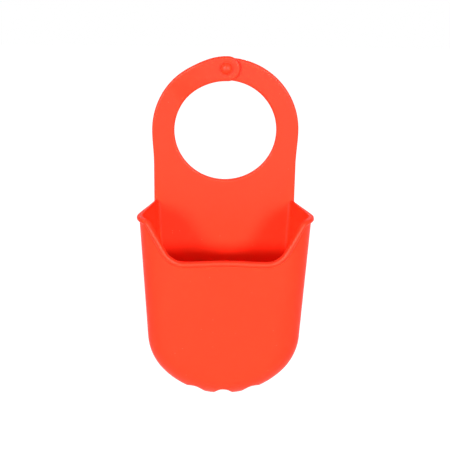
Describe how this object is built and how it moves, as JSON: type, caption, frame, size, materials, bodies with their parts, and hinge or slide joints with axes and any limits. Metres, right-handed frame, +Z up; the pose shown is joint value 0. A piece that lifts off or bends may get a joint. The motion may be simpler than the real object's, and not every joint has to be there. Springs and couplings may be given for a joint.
{
  "type": "hanging sink caddy",
  "caption": "Soft silicone sponge pocket under a flat panel that ends in a ring. The ring's lapped strap arms part at a snap stud to go round a tap, and holes in the floor let it drain.",
  "frame": {"origin": "centre of the ring's hole, midway through the strap's thickness", "axes": "+Z up along the panel towards the snap, +Y out of the panel's flat back, -Y the way the pocket stands out, +X right seen from the front"},
  "size_m": [0.1086, 0.0479, 0.2161],
  "materials": {
    "silicone": "smooth satin orange-red silicone rubber"
  },
  "bodies": {
    "moulding": {"back_panel": "silicone", "pocket_shell": "silicone", "mouth_bead": "silicone"},
    "left_root": {"left_strap_root": "silicone"},
    "left_middle": {"left_strap_middle": "silicone"},
    "left_tongue": {"left_strap_tongue": "silicone", "buttonhole_lip": "silicone"},
    "right_root": {"right_strap_root": "silicone"},
    "right_middle": {"right_strap_middle": "silicone"},
    "right_end": {"right_strap_end": "silicone", "snap_stud": "silicone"}
  },
  "joints": [
    {"name": "left_bend_root", "type": "hinge", "parent": "moulding", "child": "left_root", "pos_m": [-0.039, -0.0013, 0], "axis": [1, 0, 0], "range_deg": [0, 30], "stiffness_Nm_per_rad": 0.0026, "deforming": ["buttonhole_lip"]},
    {"name": "left_bend_middle", "type": "hinge", "parent": "left_root", "child": "left_middle", "pos_m": [-0.03377, -0.0013, 0.0195], "axis": [0.866, 0, -0.5], "range_deg": [0, 30], "stiffness_Nm_per_rad": 0.0026},
    {"name": "left_bend_tongue", "type": "hinge", "parent": "left_middle", "child": "left_tongue", "pos_m": [-0.0195, -0.00353, 0.03377], "axis": [0.5, 0, -0.866], "range_deg": [0, 30], "stiffness_Nm_per_rad": 0.0026},
    {"name": "right_bend_root", "type": "hinge", "parent": "moulding", "child": "right_root", "pos_m": [0.039, 0.0013, 0], "axis": [-1, 0, 0], "range_deg": [0, 30], "stiffness_Nm_per_rad": 0.0026},
    {"name": "right_bend_middle", "type": "hinge", "parent": "right_root", "child": "right_middle", "pos_m": [0.03377, 0.0013, 0.0195], "axis": [-0.866, 0, -0.5], "range_deg": [0, 30], "stiffness_Nm_per_rad": 0.0026},
    {"name": "right_bend_end", "type": "hinge", "parent": "right_middle", "child": "right_end", "pos_m": [0.0195, 0.0013, 0.03377], "axis": [-0.5, 0, -0.866], "range_deg": [0, 30], "stiffness_Nm_per_rad": 0.0026}
  ],
  "couplings": [
    {"joint": "left_bend_middle", "follows": "left_bend_root", "ratio": 1},
    {"joint": "left_bend_tongue", "follows": "left_bend_root", "ratio": 1},
    {"joint": "right_bend_middle", "follows": "right_bend_root", "ratio": 1},
    {"joint": "right_bend_end", "follows": "right_bend_root", "ratio": 1}
  ]
}
